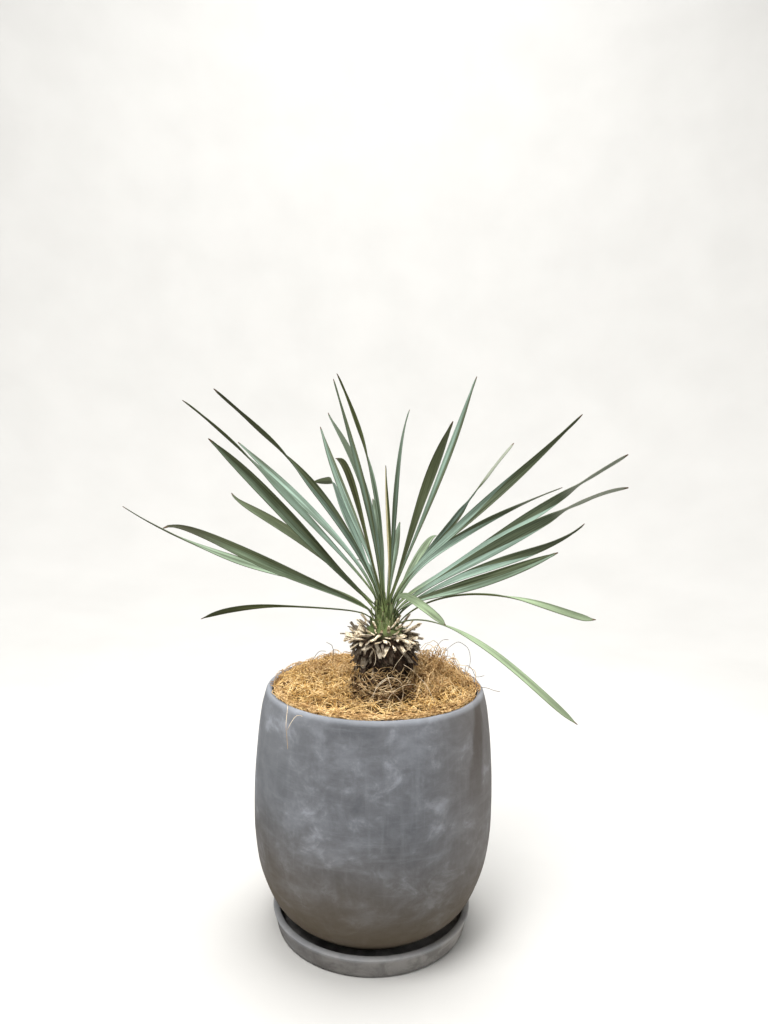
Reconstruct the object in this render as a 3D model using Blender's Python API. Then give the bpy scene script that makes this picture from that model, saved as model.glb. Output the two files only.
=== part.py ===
"""A young beaked yucca in a barrel-shaped pot on its saucer. Metres, +Z up, origin on the floor at the pot's axis."""

import random
from math import cos, exp, hypot, pi, radians, sin

import bmesh
import bpy
import numpy as np
from mathutils import Matrix, Vector

MM = 0.001

# The saucer, millimetres.
SAUCER_BASE_RADIUS = 85.0
SAUCER_RIM_RADIUS = 92.0
SAUCER_HEIGHT = 19.0
SAUCER_WALL = 6.0
SAUCER_FLOOR = 6.0

# The pot, millimetres above the floor that the saucer stands on. Each pair is a radius and a height.
POT_FOOT = SAUCER_FLOOR + 0.3
POT_OUTER = ((63.0, 8.0), (89.0, 30.0), (103.0, 60.0), (108.5, 90.0), (109.5, 120.0), (108.8, 150.0),
             (106.6, 180.0), (103.6, 205.0), (100.0, 220.5), (98.6, 223.6), (97.0, 224.6))
POT_INNER = ((95.0, 224.2), (93.6, 221.5), (95.8, 205.0), (100.6, 168.0), (102.2, 120.0), (95.5, 60.0),
             (83.0, 36.0), (60.0, 17.0))
POT_FOOT_RING = ((9.0, 17.0), (9.0, 10.0), (48.0, 10.0), (50.0, POT_FOOT), (60.0, POT_FOOT))
POT_SIDES = 44
SOIL_TOP = 205.0
SOIL_CLEAR = 0.4

# The trunk, millimetres: its axis, its radius at each height, and the cone that carries the leaves.
TRUNK_AXIS = (7.5, -25.0)
TRUNK_PROFILE = ((0.0, 186.0), (13.0, 188.0), (17.0, 194.0), (18.0, 216.0), (19.0, 234.0), (21.5, 250.0),
                 (25.0, 265.0), (24.5, 274.0), (20.0, 281.0), (14.0, 284.8), (11.6, 285.4))
TRUNK_TIP = ((2.3, 308.0), (0.0, 309.6))
TRUNK_SIDES = 30
# Rows of cut leaf bases from the lowest: height, number, rise in degrees, length.
STUB_ROWS = ((259.5, 12, -30, 10.5), (263.5, 14, -18, 12.5), (270.0, 16, 0, 14.0), (275.5, 16, 14, 15.0),
             (280.0, 15, 32, 13.5))
STUB_WIDTH = 7.5
STUB_THICKNESS = 2.2
STUB_ROOT = 5.0

# The coconut-fibre mulch, millimetres.
COIR_RADIUS = 92.4
COIR_EDGE = 219.0
COIR_HEAP = 10.0
COIR_SHOULDER = 22.0
COIR_RINGS = 10
COIR_SIDES = 40
FIBRE_COUNT = 48
FIBRE_RADIUS = 0.95
FIBRE_STEPS = 5
FIBRE_CLEAR_OF_TRUNK = 39.0

# The leaves. The crown is the point that every reach and lift is measured from.
CROWN = (8.0, -25.0, 289.0)
LEAF_STATIONS = 14
LEAF_EDGE = 0.6
LEAF_MIDDLE = 1.0
LEAF_GUTTER = 0.26
LEAF_LAST_STRETCH = 0.035
FOLD_PLACE = 0.78
SEAT_RADIUS = (12.15, 3.4)
SEAT_HEIGHT = (-3.0, 19.0)
SEAT_RISE = (66.0, 86.0)

# Each leaf from the outermost to the youngest: azimuth (0 is +X, 90 is +Y), reach and lift of its tip,
# length of its upright neck, rise where the blade leaves the neck and at the tip, place of its bend,
# width, where it is widest, fullness of its end, roll near the base, in the middle and near the tip,
# the turn of its seat round the stem, and the angle of its fold.
LEAVES = (
    (-42, 188, -45, 8, 29, -23, 0.62, 5.6, 0.62, 8, -32, 30, 36, -8, 0),
    (-28, 183, 24, 20, 35, 16, 0.8, 5.9, 0.76, 9, -34, -24, 52, 6, 0),
    (-143, 174, 24, 25, -20, -15, 0.39, 4.6, 0.82, 3, 36, 22, 76, 0, 0),
    (-69, 120, 24, 30, 84, -8, 0.23, 6.6, 0.6, 6, 80, 74, 30, 0, 0),
    (100, 168, 30, 14, 30, -8, 0.5, 9, 0.56, 2.1, 0, 8, 10, 0, 0),
    (25, 219, 81, 19, 25, 36, 0.57, 9.2, 0.55, 1.8, 35, 66, 108, 0, 0),
    (179, 232, 98, 22, 29, 33, 0.2, 8.6, 0.55, 2, -10, -38, 18, -6, 0),
    (84, 150, 74, 20, 30, 16, 0.5, 8.5, 0.56, 2.1, 0, -6, -14, 0, 0),
    (-46, 174, 81, 19, 18, 28, 0.3, 10.6, 0.6, 3.2, 55, 72, 60, 0, 0),
    (-152, 193, 90, 25, 9, -32, 0.81, 10.6, 0.62, 3, -92, -70, -42, 0, 0),
    (65, 128, 63, 14, 4, -18, 0.53, 9, 0.5, 2.2, 5, 10, 12, 0, 0),
    (31, 208, 116, 26, 84, 14, 0.14, 6.8, 0.45, 1.5, 30, 78, 130, 0, 0),
    (146, 188, 105, 6, 43, 55, 0.81, 9.8, 0.62, 2.6, -32, -36, -34, 0, 0),
    (-10, 202, 124, 22, 23, 4, 0.67, 11.2, 0.52, 1.6, 50, 88, 140, -10, 0),
    (96, 128, 100, 18, 44, 24, 0.5, 8.5, 0.56, 2.1, 0, 6, -6, 0, 0),
    (9, 223, 151, 24, 8, 29, 0.33, 9.8, 0.55, 1.6, 45, 66, 118, 6, 0),
    (121, 134, 151, 17, 49, 52, 0.61, 8.6, 0.66, 4, 0, -14, 55, 0, 52),
    (145, 182, 156, 20, 84, 33, 0.15, 8.6, 0.62, 2, -24, -32, -32, 8, 0),
    (-103, 164, 146, 20, 19, -2, 0.56, 5, 0.85, 5, -20, -30, 8, 6, 0),
    (42, 174, 160, 28, 2, 37, 0.28, 7.6, 0.45, 1.5, 15, 80, 195, 0, 0),
    (-142, 169, 158, 6, 4, 40, 0.15, 10.4, 0.6, 3.2, -95, -84, -78, 0, 0),
    (120, 136, 173, 20, 63, 56, 0.24, 8.3, 0.62, 2.2, 0, -10, -4, 0, 0),
    (169, 191, 193, 23, 35, 34, 0.44, 8.8, 0.5, 1.6, -28, -32, 52, -4, 0),
    (-9, 163, 184, 23, 50, 46, 0.15, 8.6, 0.52, 1.7, 55, 75, 112, 0, 0),
    (119, 123, 187, 19, 84, 54, 0.82, 7.4, 0.6, 2.2, 0, 0, -6, -14, 0),
    (-155, 152, 197, 20, 64, 42, 0.75, 9, 0.48, 1.4, -88, -72, 52, 0, 0),
    (-71, 133, 173, 7, 19, 43, 0.22, 8.6, 0.68, 2.2, 24, 14, -8, 0, 0),
    (34, 99, 221, 22, 56, 63, 0.78, 7, 0.6, 1.8, 6, 16, 34, -14, 0),
    (129, 83, 217, 19, 84, 63, 0.34, 6.4, 0.5, 1.4, -6, -12, -8, 12, 0),
    (70, 58, 189, 12, 35, 42, 0.31, 4.6, 0.5, 1.5, 0, 0, 0, 4, 0),
    (-162, 47, 215, 6, 84, 63, 0.04, 6.6, 0.5, 1.8, -80, -50, 50, 0, 0),
    (180, 2, 138, 20, 89, 89, 0.5, 4.6, 0.5, 2, 50, 50, 50, 140, 0),
)


def clear_scene():
    for obj in list(bpy.data.objects):
        bpy.data.objects.remove(obj, do_unlink=True)


def material(name, colour, roughness):
    made = bpy.data.materials.new(name)
    made.use_nodes = True
    shader = made.node_tree.nodes["Principled BSDF"]
    shader.inputs["Base Color"].default_value = (*colour, 1.0)
    shader.inputs["Roughness"].default_value = roughness
    return made


def object_from(name, shape, look=None):
    """Makes the object of a bmesh that is modelled in millimetres."""
    bmesh.ops.scale(shape, vec=(MM, MM, MM), verts=shape.verts)
    mesh = bpy.data.meshes.new(name)
    shape.to_mesh(mesh)
    shape.free()
    made = bpy.data.objects.new(name, mesh)
    bpy.context.scene.collection.objects.link(made)
    if look:
        mesh.materials.append(look)
    mesh.shade_smooth()
    mesh.set_sharp_from_angle(angle=radians(40))
    return made


def turned(name, outline, sides, look, centre=(0.0, 0.0)):
    """Turns an outline of (radius, height) pairs about a vertical axis. It closes on itself or on the axis."""
    shape = bmesh.new()
    rings = []
    for radius, height in outline:
        count = sides if radius > 0 else 1
        ring = [shape.verts.new((centre[0] + radius * cos(2 * pi * k / count),
                                 centre[1] + radius * sin(2 * pi * k / count), height)) for k in range(count)]
        rings.append(ring)
    if len(rings[0]) > 1:
        rings.append(rings[0])
    for low, high in zip(rings, rings[1:]):
        for k in range(sides):
            after = (k + 1) % sides
            corners = [low[k % len(low)], low[after % len(low)], high[after % len(high)], high[k % len(high)]]
            shape.faces.new(list(dict.fromkeys(corners)))
    bmesh.ops.recalc_face_normals(shape, faces=shape.faces)
    return object_from(name, shape, look)


def apply_boolean(body, operation, **operand):
    cut = body.modifiers.new(operation, "BOOLEAN")
    cut.operation = operation
    for key, value in operand.items():
        setattr(cut, key, value)
    bpy.context.view_layer.objects.active = body
    bpy.ops.object.modifier_apply(modifier=cut.name)


def fuse(body, pieces):
    """Joins the loose pieces to the body as one closed solid and removes them."""
    group = bpy.data.collections.new(body.name + "_pieces")
    bpy.context.scene.collection.children.link(group)
    for piece in pieces:
        bpy.context.scene.collection.objects.unlink(piece)
        group.objects.link(piece)
    apply_boolean(body, "UNION", operand_type="COLLECTION", collection=group, solver="MANIFOLD")
    for piece in pieces:
        bpy.data.objects.remove(piece, do_unlink=True)
    bpy.data.collections.remove(group)


def cut_away(body, cutter):
    apply_boolean(body, "DIFFERENCE", object=cutter)
    bpy.data.objects.remove(cutter, do_unlink=True)


def make_saucer():
    inner = SAUCER_RIM_RADIUS - SAUCER_WALL
    outline = ((0.0, 0.0), (SAUCER_BASE_RADIUS, 0.0), (SAUCER_BASE_RADIUS + 2.5, 1.5),
               (SAUCER_RIM_RADIUS, SAUCER_HEIGHT - 1.5), (SAUCER_RIM_RADIUS - 1.0, SAUCER_HEIGHT),
               (inner + 0.8, SAUCER_HEIGHT), (inner, SAUCER_HEIGHT - 1.2), (inner - 3.5, SAUCER_FLOOR + 1.6),
               (inner - 5.5, SAUCER_FLOOR), (0.0, SAUCER_FLOOR))
    return turned("saucer", outline, POT_SIDES, material("saucer_stone", (0.27, 0.28, 0.30), 0.85))


def make_pot():
    return turned("pot", POT_OUTER + POT_INNER + POT_FOOT_RING, POT_SIDES,
                  material("pot_stone", (0.25, 0.27, 0.29), 0.85))


def make_soil():
    wall = [(radius - SOIL_CLEAR, height) for radius, height in reversed(POT_INNER) if height < SOIL_TOP + 1]
    floor = wall[0][1] + SOIL_CLEAR
    wall[0] = (wall[0][0] - SOIL_CLEAR, floor)
    soil = turned("soil", [(0.0, floor), *wall, (0.0, wall[-1][1])], POT_SIDES,
                  material("potting_soil", (0.05, 0.035, 0.025), 0.95))
    cut_away(soil, stem_cutter(0.4))
    return soil


def stem_cutter(clear):
    """The trunk's own outline grown by the clearance, and open upwards."""
    outline = [(radius + clear, height) for radius, height in TRUNK_PROFILE if height < 255 and radius > 0]
    outline[0] = (outline[0][0], TRUNK_PROFILE[0][1] - clear)
    outline = [(0.0, outline[0][1]), *outline, (0.0, outline[-1][1] + 5)]
    return turned("stem_cutter", outline, TRUNK_SIDES, None, TRUNK_AXIS)


def coir_height(x, y):
    """The mulch's surface: a heap with a round shoulder, low in front and highest at the right of the trunk."""
    shoulder = smooth((COIR_RADIUS - hypot(x, y)) / COIR_SHOULDER)
    front = 0.25 + 0.75 * smooth((y + 60.0) / 60.0)
    crest = 5.0 * exp(-((x - 38.0) ** 2 + (y - 6.0) ** 2) / 1300.0)
    lumps = 1.3 * sin(0.13 * x + 0.7) * cos(0.11 * y - 0.4) + 0.9 * sin(0.31 * x - 0.23 * y)
    ridges = 0.7 * sin(0.55 * x + 0.42 * y) + 0.6 * sin(0.48 * x - 0.61 * y + 1.0)
    return COIR_EDGE + COIR_HEAP * shoulder * front + crest + (lumps + ridges) * (0.25 + 0.75 * shoulder)


def make_coir():
    shape = bmesh.new()
    floor = SOIL_TOP + 0.4
    centre = shape.verts.new((0.0, 0.0, coir_height(0.0, 0.0)))
    rings = []
    for i in range(1, COIR_RINGS + 1):
        radius = COIR_RADIUS * i / COIR_RINGS
        ring = []
        for k in range(COIR_SIDES):
            angle = 2 * pi * k / COIR_SIDES
            x, y = radius * cos(angle), radius * sin(angle)
            ring.append(shape.verts.new((x, y, coir_height(x, y))))
        rings.append(ring)
    rings.append([shape.verts.new((vert.co.x, vert.co.y, floor)) for vert in rings[-1]])
    for k in range(COIR_SIDES):
        after = (k + 1) % COIR_SIDES
        shape.faces.new((centre, rings[0][k], rings[0][after]))
        for low, high in zip(rings, rings[1:]):
            shape.faces.new((low[k], high[k], high[after], low[after]))
    shape.faces.new(rings[-1][::-1])
    bmesh.ops.triangulate(shape, faces=shape.faces)
    bmesh.ops.recalc_face_normals(shape, faces=shape.faces)
    coir = object_from("coir_mulch", shape, material("coir_fibre", (0.42, 0.27, 0.12), 0.9))
    fuse(coir, coir_fibres())
    cut_away(coir, stem_cutter(0.5))
    return coir


def coir_fibres():
    """Loose fibres that leave the mulch, arch over it and go back in."""
    draw = random.Random(11)
    fibres = []
    while len(fibres) < FIBRE_COUNT:
        radius, angle = 84.0 * draw.random() ** 0.5, draw.uniform(0, 2 * pi)
        course, length = draw.uniform(0, 2 * pi), draw.uniform(26, 60)
        bend, bulge = draw.uniform(-0.9, 0.9), draw.uniform(2.2, 7.5)
        points = []
        x, y = radius * cos(angle), radius * sin(angle)
        for i in range(FIBRE_STEPS + 1):
            t = i / FIBRE_STEPS
            rise = bulge * sin(pi * t) - 1.8 * (1 - sin(pi * t))
            points.append(Vector((x, y, coir_height(x, y) + rise)))
            x += length / FIBRE_STEPS * cos(course + bend * t)
            y += length / FIBRE_STEPS * sin(course + bend * t)
        inside = all(hypot(p.x, p.y) < COIR_RADIUS - 2.5 for p in points)
        off_trunk = all(hypot(p.x - TRUNK_AXIS[0], p.y - TRUNK_AXIS[1]) > FIBRE_CLEAR_OF_TRUNK for p in points)
        if inside and off_trunk:
            fibres.append(tube("fibre", points, FIBRE_RADIUS, 3))
    return fibres


def tube(name, points, radius, sides):
    shape = bmesh.new()
    rings = []
    for i, point in enumerate(points):
        ahead = points[min(i + 1, len(points) - 1)] - points[max(i - 1, 0)]
        turn = ahead.to_track_quat("Z", "Y").to_matrix()
        rings.append([shape.verts.new(point + turn @ Vector((radius * cos(2 * pi * k / sides),
                                                             radius * sin(2 * pi * k / sides), 0)))
                      for k in range(sides)])
    for low, high in zip(rings, rings[1:]):
        for k in range(sides):
            after = (k + 1) % sides
            shape.faces.new((low[k], low[after], high[after], high[k]))
    shape.faces.new(rings[0][::-1])
    shape.faces.new(rings[-1])
    bmesh.ops.triangulate(shape, faces=shape.faces)
    bmesh.ops.recalc_face_normals(shape, faces=shape.faces)
    return object_from(name, shape)


def trunk_radius(height):
    return float(np.interp(height, [h for _, h in TRUNK_PROFILE], [r for r, _ in TRUNK_PROFILE]))


def make_trunk():
    trunk = turned("trunk", TRUNK_PROFILE + TRUNK_TIP, TRUNK_SIDES,
                   material("trunk_bark", (0.16, 0.11, 0.07), 0.9), TRUNK_AXIS)
    fuse(trunk, leaf_stubs())
    return trunk


def leaf_stubs():
    """Cut bases of dead leaves in rows round the stem, drooping in the oldest rows and rising in the newest."""
    draw = random.Random(5)
    stubs = []
    for row, (height, count, rise, length) in enumerate(STUB_ROWS):
        for k in range(count):
            around = 360.0 * (k + 0.5 * (row % 2) + draw.uniform(-0.16, 0.16)) / count
            tilt = rise + draw.uniform(-7, 7)
            long = length * draw.uniform(0.78, 1.12)
            wide = STUB_WIDTH * draw.uniform(0.78, 1.1)
            stubs.append(stub(around, height + draw.uniform(-1.2, 1.2), tilt, long, wide, draw.uniform(-14, 14)))
    return stubs


def stub(around, height, tilt, length, width, roll):
    """A flat wedge with its root well inside the stem. X is its length, and its cut end is square."""
    shape = bmesh.new()
    rings = []
    for along, half, thick, sag in ((-STUB_ROOT, 0.5, 0.5, 0.0), (length * 0.45, 0.5, 0.46, 0.5),
                                    (length, 0.36, 0.3, -0.4)):
        y, z = width * half, STUB_THICKNESS * thick
        rings.append([shape.verts.new((along, side * y, sag + lift * z))
                      for side, lift in ((-1, -1), (1, -1), (1, 1), (-1, 1))])
    for low, high in zip(rings, rings[1:]):
        for k in range(4):
            shape.faces.new((low[k], high[k], high[(k + 1) % 4], low[(k + 1) % 4]))
    shape.faces.new(rings[0])
    shape.faces.new(rings[-1][::-1])
    bmesh.ops.triangulate(shape, faces=shape.faces)
    bmesh.ops.recalc_face_normals(shape, faces=shape.faces)
    place = (Matrix.Translation((TRUNK_AXIS[0], TRUNK_AXIS[1], height))
             @ Matrix.Rotation(radians(around), 4, "Z") @ Matrix.Translation((trunk_radius(height), 0, 0))
             @ Matrix.Rotation(-radians(tilt), 4, "Y") @ Matrix.Rotation(radians(roll), 4, "X"))
    bmesh.ops.transform(shape, matrix=place, verts=shape.verts)
    return object_from("stub", shape)


def smooth(x):
    x = np.clip(x, 0.0, 1.0)
    return x * x * (3 - 2 * x)


def heading(azimuth, rise):
    return np.array((cos(azimuth) * cos(rise), sin(azimuth) * cos(rise), sin(rise)))


def swung(points, pivot, azimuth, angle):
    """The points turned down about the pivot, in the upright plane of the leaf."""
    ahead = (points - pivot) @ heading(azimuth, 0.0)
    high = points[:, 2] - pivot[2]
    forward = ahead * cos(angle) + high * sin(angle) - ahead
    moved = points + forward[:, None] * heading(azimuth, 0.0)
    moved[:, 2] = pivot[2] + high * cos(angle) - ahead * sin(angle)
    return moved


def leaf_line(leaf, rank):
    """Points along the leaf's middle, evenly spaced, and their share of its length."""
    azimuth, reach, lift, neck, rise, tip_rise, bend = leaf[:7]
    share = rank / (len(LEAVES) - 1)
    radius, height, steep = (low + (high - low) * share for low, high in (SEAT_RADIUS, SEAT_HEIGHT, SEAT_RISE))
    out, seat_out = radians(azimuth), radians(azimuth + leaf[13])
    seat = np.array(CROWN) + radius * heading(seat_out, 0.0) + np.array((0, 0, height))
    neck_end = seat + neck * heading(seat_out, radians(steep))
    tip = np.array(CROWN) + reach * heading(out, 0.0) + np.array((0, 0, lift))
    handle = 0.62 * np.linalg.norm(tip - neck_end)
    rest = [seat, neck_end, neck_end + handle * bend * heading(out, radians(rise)),
            tip - handle * (1 - bend) * heading(out, radians(tip_rise)), tip]
    t = np.linspace(0, 1, 401)[:, None]
    while len(rest) > 1:
        rest = [a * (1 - t) + b * t for a, b in zip(rest, rest[1:])]
    fine = rest[0]
    along = np.concatenate(([0.0], np.cumsum(np.linalg.norm(np.diff(fine, axis=0), axis=1))))
    along /= along[-1]
    folded = along > FOLD_PLACE
    fine[folded] = swung(fine[folded], fine[~folded][-1], out, radians(leaf[14]))
    stations = np.append((1 - LEAF_LAST_STRETCH) * np.linspace(0, 1, LEAF_STATIONS - 1) ** 1.15, 1.0)
    return stations, np.stack([np.interp(stations, along, fine[:, k]) for k in range(3)], axis=-1)


def leaf_half_width(t, width, widest, fullness):
    """The leaf is narrow at its base and widest past the middle, and its end is fine or blunt."""
    grow = 0.36 + 0.64 * smooth((t - 0.08) / (widest - 0.08))
    fall = 1 - np.clip((t - widest) / (1 - widest), 0, 1) ** fullness
    end = 1 - 0.76 * np.clip((t - 0.92) / 0.08, 0, 1) ** 4
    return 0.5 * width * np.maximum(grow * fall, 0.28) * end


def leaf_roll(t, near, middle, far):
    first = near * smooth(t / 0.15)
    second = near + (middle - near) * smooth((t - 0.15) / 0.35)
    third = middle + (far - middle) * smooth((t - 0.5) / 0.35)
    return np.radians(np.where(t < 0.15, first, np.where(t < 0.5, second, third)))


def leaf_rings(leaf, rank):
    """Six points round the leaf at each station: its upper face from left to right, then its lower face back."""
    t, middle = leaf_line(leaf, rank)
    ahead = np.gradient(middle, axis=0)
    ahead /= np.linalg.norm(ahead, axis=1)[:, None]
    side = heading(radians(leaf[0] + 90), 0.0)
    across = side - ahead * (ahead @ side)[:, None]
    across /= np.linalg.norm(across, axis=1)[:, None]
    upper = np.cross(ahead, across)
    roll = leaf_roll(t, *leaf[10:13])[:, None]
    across, upper = across * np.cos(roll) + upper * np.sin(roll), upper * np.cos(roll) - across * np.sin(roll)
    half = leaf_half_width(t, *leaf[7:10])[:, None]
    edge = upper * half * LEAF_GUTTER
    left, right = middle - across * half + edge, middle + across * half + edge
    thin, thick = upper * LEAF_EDGE / 2, upper * LEAF_MIDDLE / 2
    return np.stack((left + thin, middle + thick, right + thin, right - thin, middle - thick, left - thin), axis=1)


def make_leaf(name, leaf, rank, look):
    shape = bmesh.new()
    rings = [[shape.verts.new(point) for point in ring] for ring in leaf_rings(leaf, rank)]
    for low, high in zip(rings, rings[1:]):
        for j, k in ((0, 1), (1, 2)):
            shape.faces.new((low[j], high[j], high[k]))
            shape.faces.new((low[j], high[k], low[k]))
        for j, k in ((5, 4), (4, 3)):
            shape.faces.new((low[j], high[k], high[j]))
            shape.faces.new((low[j], low[k], high[k]))
        shape.faces.new((low[2], high[2], high[3], low[3]))
        shape.faces.new((low[5], high[5], high[0], low[0]))
    for ring in (rings[0], rings[-1]):
        for corners in ((0, 1, 4, 5), (1, 2, 3, 4)):
            shape.faces.new([ring[k] for k in corners])
    bmesh.ops.recalc_face_normals(shape, faces=shape.faces)
    return object_from(name, shape, look)


def make_leaves():
    blade = material("leaf_blade", (0.16, 0.25, 0.19), 0.5)
    for rank, leaf in enumerate(LEAVES):
        make_leaf("leaf_%02d" % (rank + 1), leaf, rank, blade)


def build():
    clear_scene()
    make_saucer()
    make_pot()
    make_soil()
    make_coir()
    make_trunk()
    make_leaves()


build()
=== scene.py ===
# A potted beaked yucca, dressed for a plain studio: finer leaves, cut leaf bases, coconut fibre and
# stone finishes round the fixed frame. The settings are in millimetres and the scene is in metres.
import random
from math import cos, exp, hypot, pi, radians, sin

import bpy
import numpy as np
from mathutils import Matrix, Vector, noise


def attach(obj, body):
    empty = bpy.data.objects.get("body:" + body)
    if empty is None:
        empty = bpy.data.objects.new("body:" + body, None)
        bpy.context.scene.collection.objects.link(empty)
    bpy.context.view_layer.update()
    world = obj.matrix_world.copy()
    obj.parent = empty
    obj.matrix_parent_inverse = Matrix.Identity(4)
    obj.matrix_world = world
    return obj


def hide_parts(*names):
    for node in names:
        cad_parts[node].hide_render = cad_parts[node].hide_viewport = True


mm = 0.001


class Wire:
    # A material's socket. Sums, differences and products written with it become Math nodes.
    def __init__(self, tree, socket):
        self.tree = tree
        self.socket = socket

    def maths(self, operation, *others):
        values = dict(enumerate((self, *others)))
        return addNode(self.tree, "ShaderNodeMath", {"operation": operation}, values)

    def __add__(self, other):
        return self.maths("ADD", other)

    def __sub__(self, other):
        return self.maths("SUBTRACT", other)

    def __mul__(self, other):
        return self.maths("MULTIPLY", other)

    __radd__ = __add__
    __rmul__ = __mul__


def feed(tree, node, sockets):
    # each socket gets its wire or its fixed value
    for key, value in sockets.items():
        if isinstance(value, Wire):
            tree.links.new(value.socket, node.inputs[key])
        else:
            node.inputs[key].default_value = value


def addNode(tree, kind, settings=None, sockets=None, out=0):
    node = tree.nodes.new(kind)
    for key, value in (settings or {}).items():
        if key == "stops":
            setStops(node, value)
        else:
            setattr(node, key, value)
    feed(tree, node, sockets or {})
    return Wire(tree, node.outputs[out])


def setStops(node, stops):
    marks = node.color_ramp.elements
    while len(marks) < len(stops):
        marks.new(1.0)
    for mark, (place, colour) in zip(marks, stops):
        mark.position = place
        mark.color = (*colour, 1)


class Finish:
    # A material on its way: the helpers give wires, and close() joins the last ones to the shader.
    def __init__(self, name):
        self.material = bpy.data.materials.new(name)
        self.material.use_nodes = True
        self.tree = self.material.node_tree
        self.shader = self.tree.nodes["Principled BSDF"]

    def place(self, scale=(1, 1, 1), turn=(0, 0, 0)):
        here = addNode(self.tree, "ShaderNodeTexCoord", out=3)
        sockets = {"Vector": here, "Scale": scale, "Rotation": turn}
        return addNode(self.tree, "ShaderNodeMapping", None, sockets)

    def split(self, wire):
        first = addNode(self.tree, "ShaderNodeSeparateXYZ", None, {0: wire})
        return [Wire(self.tree, socket) for socket in first.socket.node.outputs]

    def clouds(self, place, scale, detail=4, rough=0.55, swirl=0.0):
        sockets = {"Vector": place, "Scale": scale, "Detail": detail, "Roughness": rough,
                   "Distortion": swirl}
        return addNode(self.tree, "ShaderNodeTexNoise", None, sockets)

    def fade(self, wire, low, high, first=0.0, last=1.0):
        return addNode(self.tree, "ShaderNodeMapRange", {"interpolation_type": "SMOOTHSTEP"},
                       {"Value": wire, "From Min": low, "From Max": high, "To Min": first, "To Max": last})

    def ramp(self, wire, places, colours):
        return addNode(self.tree, "ShaderNodeValToRGB", {"stops": tuple(zip(places, colours))}, {0: wire})

    def blend(self, share, first, second, how="MIX"):
        first, second = (c if isinstance(c, Wire) else (*c, 1) for c in (first, second))
        return addNode(self.tree, "ShaderNodeMix", {"data_type": "RGBA", "blend_type": how},
                       {0: share, 6: first, 7: second}, out=2)

    def named(self, attribute):
        return addNode(self.tree, "ShaderNodeAttribute", {"attribute_name": attribute}, out=2)

    def close(self, colour, roughness, relief=None, depth=0.0002, strength=1.0, specular=0.5):
        wired = {"Base Color": colour, "Roughness": roughness, "Specular IOR Level": specular}
        if relief:
            wired["Normal"] = addNode(self.tree, "ShaderNodeBump", None,
                                      {"Height": relief, "Distance": depth, "Strength": strength})
        feed(self.tree, self.shader, wired)
        return self.material


def letGo():
    bpy.ops.object.select_all(action="DESELECT")


def pick(*pieces):
    letGo()
    for piece in pieces:
        piece.select_set(True)
    bpy.context.view_layer.objects.active = pieces[0]


def bake(piece, kind, **settings):
    # adds a modifier and applies it
    pick(piece)
    added = piece.modifiers.new(kind.title(), kind)
    for key, value in settings.items():
        setattr(added, key, value)
    bpy.ops.object.modifier_apply(modifier=added.name)


def soften(piece, angle=40):
    pick(piece)
    bpy.ops.object.shade_smooth_by_angle(angle=radians(angle))


def hand(piece, slot, *nodes):
    # the finished piece goes to the frame
    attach(piece, "root")
    if nodes:
        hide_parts(*nodes)


def joined(name, pieces):
    pick(*pieces)
    bpy.ops.object.join()
    pieces[0].name = name
    return pieces[0]


def smooth(x):
    x = np.clip(x, 0.0, 1.0)
    return x * x * (3 - 2 * x)


def rounded(given, between):
    # extra points on a smooth line through the given ones
    p = np.array([given[0], *given, given[-1]], float)
    line = []
    for k in range(1, len(p) - 2):
        a, b, c, d = p[k - 1:k + 3]
        for t in np.arange(between) / between:
            line.append(0.5 * (2 * b + (c - a) * t + (2 * a - 5 * b + 4 * c - d) * t * t
                               + (3 * b - a - 3 * c + d) * t ** 3))
    return [tuple(q) for q in line] + [tuple(p[-1])]


def turned(name, outline, sides, axis=(0, 0), ring=False):
    # a circle drawn out ring by ring along the outline of (radius, height)
    letGo()
    outline = [(max(r, 0.02) * mm, h * mm) for r, h in outline]
    bpy.ops.mesh.primitive_circle_add(vertices=sides, radius=outline[0][0],
                                      location=(axis[0] * mm, axis[1] * mm, outline[0][1]))
    piece = bpy.context.object
    piece.name = name
    bpy.ops.object.mode_set(mode="EDIT")
    bpy.ops.mesh.select_all(action="SELECT")
    for (radius, height), (nextRadius, nextHeight) in zip(outline, outline[1:] + outline[:1] * ring):
        bpy.ops.mesh.extrude_region_move(TRANSFORM_OT_translate={"value": (0, 0, nextHeight - height)})
        bpy.ops.transform.resize(value=(nextRadius / radius, nextRadius / radius, 1))
    bpy.ops.mesh.select_all(action="SELECT")
    bpy.ops.mesh.remove_doubles(threshold=0.05 * mm)
    bpy.ops.mesh.normals_make_consistent(inside=False)
    bpy.ops.object.mode_set(mode="OBJECT")
    bpy.ops.object.transform_apply()
    return piece


def pointsOf(piece):
    place = np.empty(len(piece.data.vertices) * 3)
    piece.data.vertices.foreach_get("co", place)
    return place.reshape(-1, 3) / mm


def movePoints(piece, place):
    piece.data.vertices.foreach_set("co", np.asarray(place * mm, np.float32).ravel())
    piece.data.update()


def mark(piece, name, value):
    # one number on every vertex, for the material to read
    field = piece.data.attributes.new(name, "FLOAT", "POINT")
    field.data.foreach_set("value", np.full(len(piece.data.vertices), value, np.float32))


potSettings = {
    "sides": 144,
    "outer": ((63, 8), (89, 30), (103, 60), (108.5, 90), (109.5, 120), (108.8, 150), (106.6, 180),
              (103.6, 205), (101.0, 217)),
    "lip": ((100, 220.5), (99.5, 222.2), (98.6, 223.6), (97.8, 224.3), (97, 224.6), (96, 224.6),
            (95, 224.2), (94.1, 223.2), (93.6, 221.5)),
    "inner": ((95.8, 205), (100.6, 168), (102.2, 120), (95.5, 60), (83, 36), (60, 17)),
    "foot": ((9, 17), (9, 10), (48, 10), (50, 6.3), (60, 6.3)),
    "wobble": (0.5, 60),  # depth and size of the unevenness
    "finish": ("potStone", 0.2246, 0.0, 0.85),  # name, height in metres, painted sheen and darkening towards the foot
}

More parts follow.
